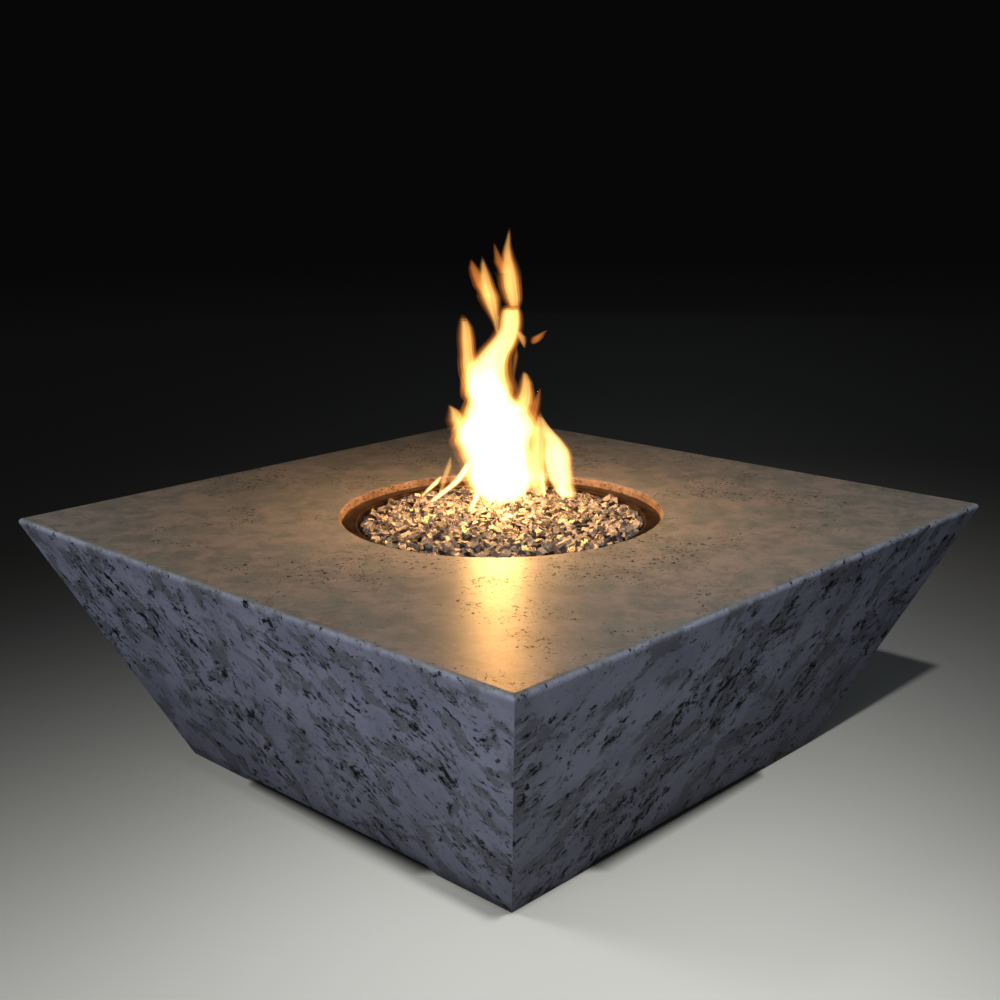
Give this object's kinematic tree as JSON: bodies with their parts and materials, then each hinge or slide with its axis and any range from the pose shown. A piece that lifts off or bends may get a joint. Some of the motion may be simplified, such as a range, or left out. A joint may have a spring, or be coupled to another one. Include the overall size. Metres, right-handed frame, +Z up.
{
  "type": "gas fire pit table",
  "caption": "Square cast concrete fire table shaped like an upside-down cut pyramid, with a round drop-in burner pan full of crushed glass and a key valve in its rear wall.",
  "frame": {"origin": "on the floor under the middle of the table", "axes": "+Z up, -Y towards the front face, +X to the right face; the key valve is in the +Y face"},
  "size_m": [1.22, 1.22, 0.46],
  "materials": {
    "concrete": "cast concrete with dark pits, sealed satin",
    "pan_steel": "heat-toned satin stainless steel",
    "fire_glass": "crushed reflective fire glass",
    "burner_steel": "plain stainless tube",
    "pipe_steel": "black iron pipe",
    "zinc_steel": "zinc plated",
    "brass": "machined brass",
    "hose_steel": "corrugated stainless steel",
    "seal_plastic": "white seal plastic",
    "plate_chrome": "polished chrome plate",
    "ball_chrome": "hard chrome plate",
    "key_steel": "nickel plated steel"
  },
  "bodies": {
    "table": {"concrete_shell": "concrete", "burner_pan": "pan_steel", "fire_glass": "fire_glass", "burner_ring": "burner_steel", "burner_arms": "burner_steel", "burner_hub": "burner_steel", "supply_nipple": "pipe_steel", "pan_washers": "zinc_steel", "pan_locknuts": "zinc_steel", "air_mixer": "brass", "gas_orifice": "brass", "mixer_elbow": "brass", "flex_hose": "hose_steel", "hose_nuts": "brass", "outlet_fitting": "brass", "valve_body": "brass", "valve_end_cap": "brass", "valve_seats": "seal_plastic", "stem_packing": "seal_plastic", "packing_nut": "brass", "key_sleeve": "brass", "sleeve_washer": "zinc_steel", "sleeve_locknut": "brass", "escutcheon": "plate_chrome"},
    "valve_core": {"valve_ball": "ball_chrome", "valve_stem": "brass"},
    "key": {"valve_key": "key_steel", "key_handle": "key_steel"}
  },
  "joints": [
    {"name": "key_turn", "type": "hinge", "parent": "table", "child": "valve_core", "pos_m": [0.18, 0.50549, 0.215], "axis": [0, 0.9139, -0.4059], "range_deg": [-90, 0]},
    {"name": "key_pull", "type": "slide", "parent": "valve_core", "child": "key", "axis": [0, 0.9139, -0.4059], "range_m": [0, 0.045]}
  ]
}
